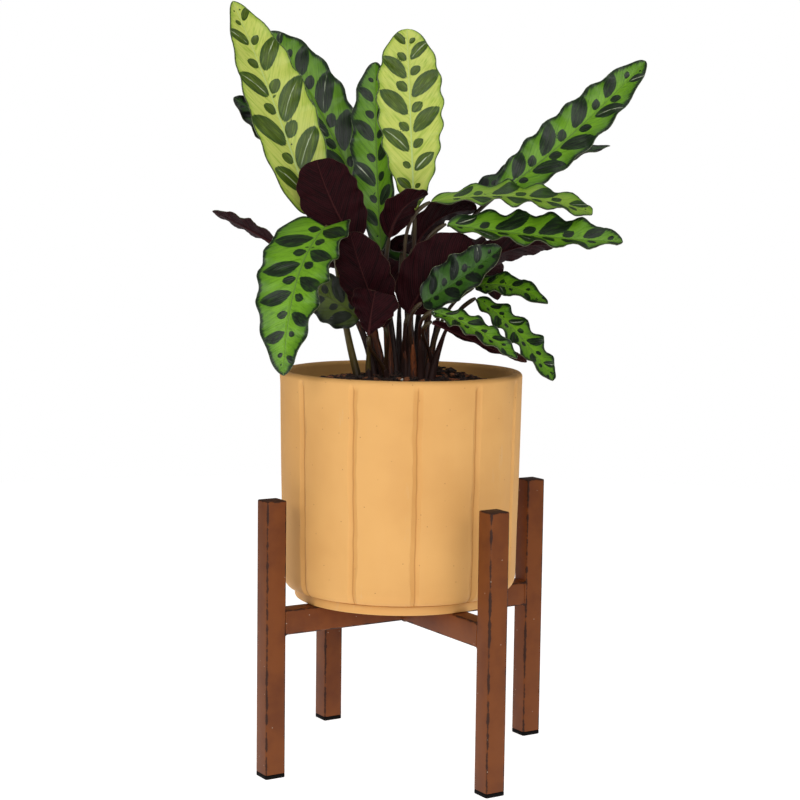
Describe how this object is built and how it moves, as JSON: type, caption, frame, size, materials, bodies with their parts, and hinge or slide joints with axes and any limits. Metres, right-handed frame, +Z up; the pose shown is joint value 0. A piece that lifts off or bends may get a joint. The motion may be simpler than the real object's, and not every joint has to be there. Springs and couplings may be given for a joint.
{
  "type": "potted rattlesnake plant on a stand",
  "caption": "Prayer plant with long, wavy, blotched leaves in a fluted round ceramic pot, standing on a square-leg stand with a cross brace.",
  "frame": {"origin": "on the floor, under the middle of the whole object's bounding box", "axes": "+Z up; -Y is the front, from where the tall leaves show their upper sides; +X is to the right from there"},
  "size_m": [0.3564, 0.2382, 0.6266],
  "materials": {
    "stand_paint": "satin brown paint, worn dark at the edges",
    "foot_plastic": "matte black",
    "pot_ceramic": "matte mustard ceramic",
    "soil": "dark crumbly potting mix",
    "petiole": "smooth olive to red-brown stalks",
    "leaf_bright": "satin, light yellow-green with dark oval marks",
    "leaf_green": "satin, mid green with dark oval marks",
    "leaf_shade": "satin, deep green with dark oval marks",
    "leaf_maroon": "matte maroon underside"
  },
  "bodies": {
    "root": {"leg_back_right": "stand_paint", "leg_back_left": "stand_paint", "leg_front_left": "stand_paint", "leg_front_right": "stand_paint", "foot_back_right": "foot_plastic", "foot_back_left": "foot_plastic", "foot_front_left": "foot_plastic", "foot_front_right": "foot_plastic", "brace_long": "stand_paint", "brace_half_back": "stand_paint", "brace_half_front": "stand_paint", "pot": "pot_ceramic", "soil": "soil", "root_crown_and_petioles": "petiole", "leaf_tall_left": "leaf_bright", "leaf_tall_left_back": "leaf_green", "leaf_far_left": "leaf_shade", "leaf_narrow_centre": "leaf_shade", "leaf_tall_centre": "leaf_bright", "leaf_young_left": "leaf_maroon", "leaf_young_low_left": "leaf_maroon", "leaf_drooping_left": "leaf_green", "leaf_thin_left": "leaf_maroon", "leaf_olive_low_left": "leaf_green", "leaf_young_front": "leaf_maroon", "leaf_curled_centre": "leaf_maroon", "leaf_curled_right": "leaf_maroon", "leaf_young_right": "leaf_maroon", "leaf_front_right": "leaf_shade", "leaf_level_upper": "leaf_bright", "leaf_level_lower": "leaf_green", "leaf_tall_right": "leaf_green", "leaf_tall_right_back": "leaf_shade", "leaf_under_level": "leaf_maroon", "leaf_small_right": "leaf_shade", "leaf_drooping_right": "leaf_green", "leaf_low_right": "leaf_shade", "leaf_low_right_under": "leaf_maroon", "leaf_back_left": "leaf_shade", "leaf_back_centre": "leaf_shade", "leaf_back_right": "leaf_shade"}
  },
  "joints": []
}
